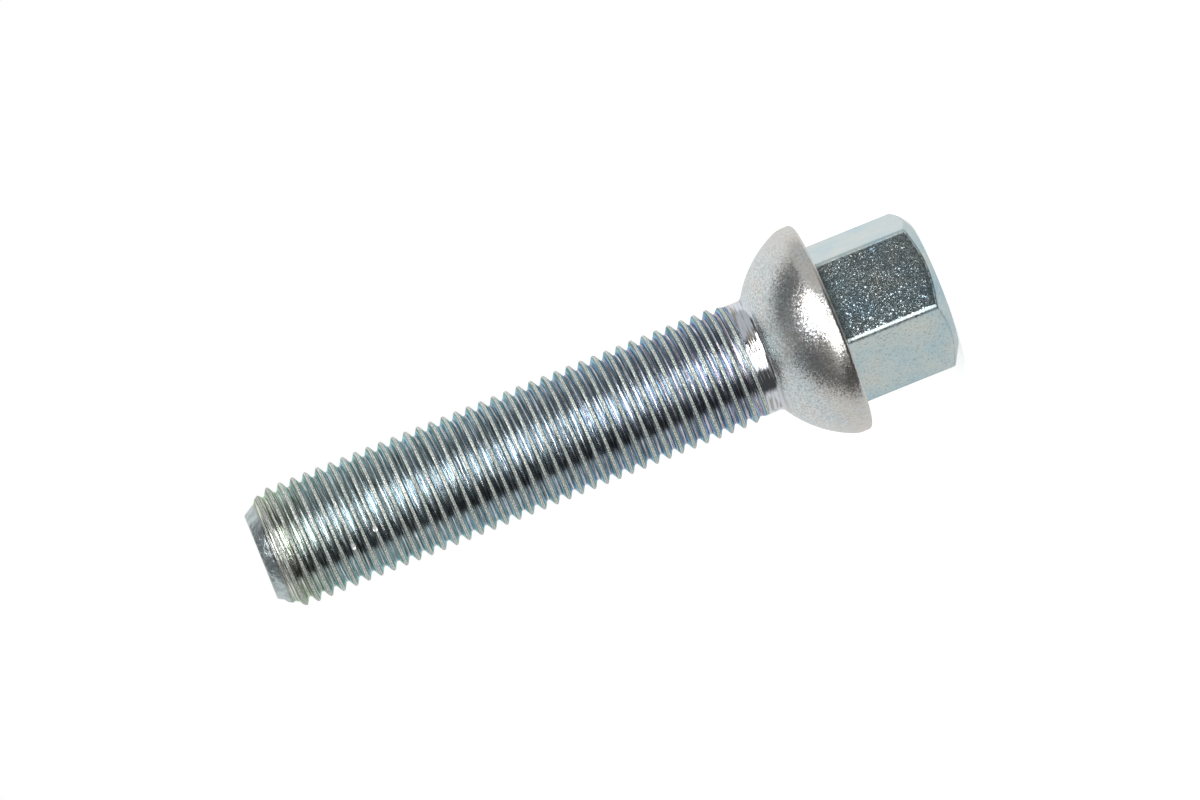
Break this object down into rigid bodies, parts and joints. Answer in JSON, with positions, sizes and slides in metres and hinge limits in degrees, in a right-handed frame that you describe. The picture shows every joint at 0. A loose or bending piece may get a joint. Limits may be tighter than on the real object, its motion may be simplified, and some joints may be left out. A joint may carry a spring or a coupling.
{
  "type": "wheel bolt",
  "caption": "One-piece steel wheel bolt with a right-hand thread, a plain neck, a spherical ball seat and a tall hexagon head.",
  "frame": {"origin": "centre of the flat end of the hexagon head, on which the bolt stands", "axes": "+Z along the bolt's axis, from the head towards the threaded tip; +X towards one rounded corner of the hexagon"},
  "size_m": [0.0244, 0.0244, 0.0807],
  "materials": {
    "zinc_plated_steel": "bright zinc plate with a thin clear-blue passivate, fine-grained where forged and smoother where rolled"
  },
  "bodies": {
    "root": {"wheel_bolt": "zinc_plated_steel"}
  },
  "joints": []
}
